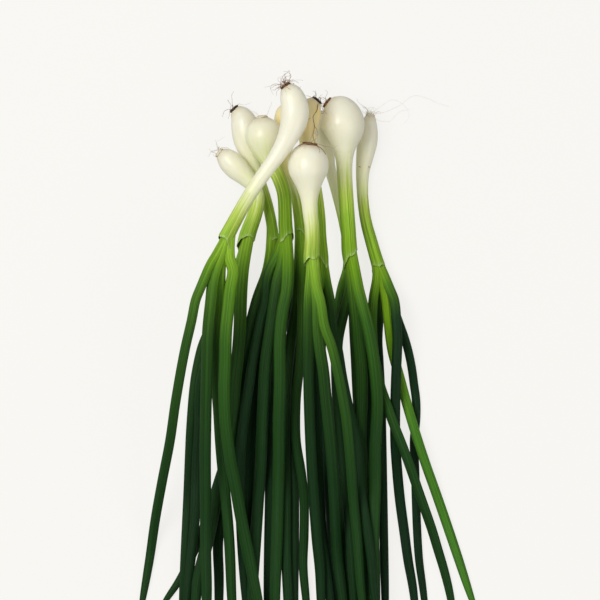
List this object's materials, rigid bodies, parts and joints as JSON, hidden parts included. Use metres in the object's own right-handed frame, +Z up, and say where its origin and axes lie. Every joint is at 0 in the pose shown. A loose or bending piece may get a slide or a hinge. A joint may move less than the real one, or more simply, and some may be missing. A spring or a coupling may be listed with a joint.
{
  "type": "spring onion bunch",
  "caption": "Loose bunch of bulbing spring onions lying flat: white bulbs with dry roots at one end, long hollow green leaves fanning out at the other.",
  "frame": {"origin": "on the surface that the bunch lies on, under the middle of its bounding box", "axes": "+Y along the bunch towards the bulbs, +Z up from the surface, +X across the bunch"},
  "size_m": [0.1888, 0.3286, 0.0607],
  "materials": {
    "bulb": "moist white onion skin with a soft waxy gloss, fine lengthwise veins, cream and green towards the shank",
    "leaf": "green hollow leaf with a matt waxy bloom and fine lengthwise ribs, paler where it leaves the shank",
    "root": "dry brown root plate and straw-coloured hair roots"
  },
  "bodies": {
    "root": {"onion_01_bulb": "bulb", "onion_01_leaves": "leaf", "onion_01_roots": "root", "onion_02_bulb": "bulb", "onion_02_leaves": "leaf", "onion_02_roots": "root", "onion_03_bulb": "bulb", "onion_03_leaves": "leaf", "onion_03_roots": "root", "onion_04_bulb": "bulb", "onion_04_leaves": "leaf", "onion_04_roots": "root", "onion_05_bulb": "bulb", "onion_05_leaves": "leaf", "onion_05_roots": "root", "onion_06_bulb": "bulb", "onion_06_leaves": "leaf", "onion_06_roots": "root", "onion_07_bulb": "bulb", "onion_07_leaves": "leaf", "onion_07_roots": "root", "onion_08_bulb": "bulb", "onion_08_leaves": "leaf", "onion_08_roots": "root", "onion_09_bulb": "bulb", "onion_09_leaves": "leaf", "onion_09_roots": "root", "onion_10_bulb": "bulb", "onion_10_leaves": "leaf", "onion_10_roots": "root"}
  },
  "joints": []
}
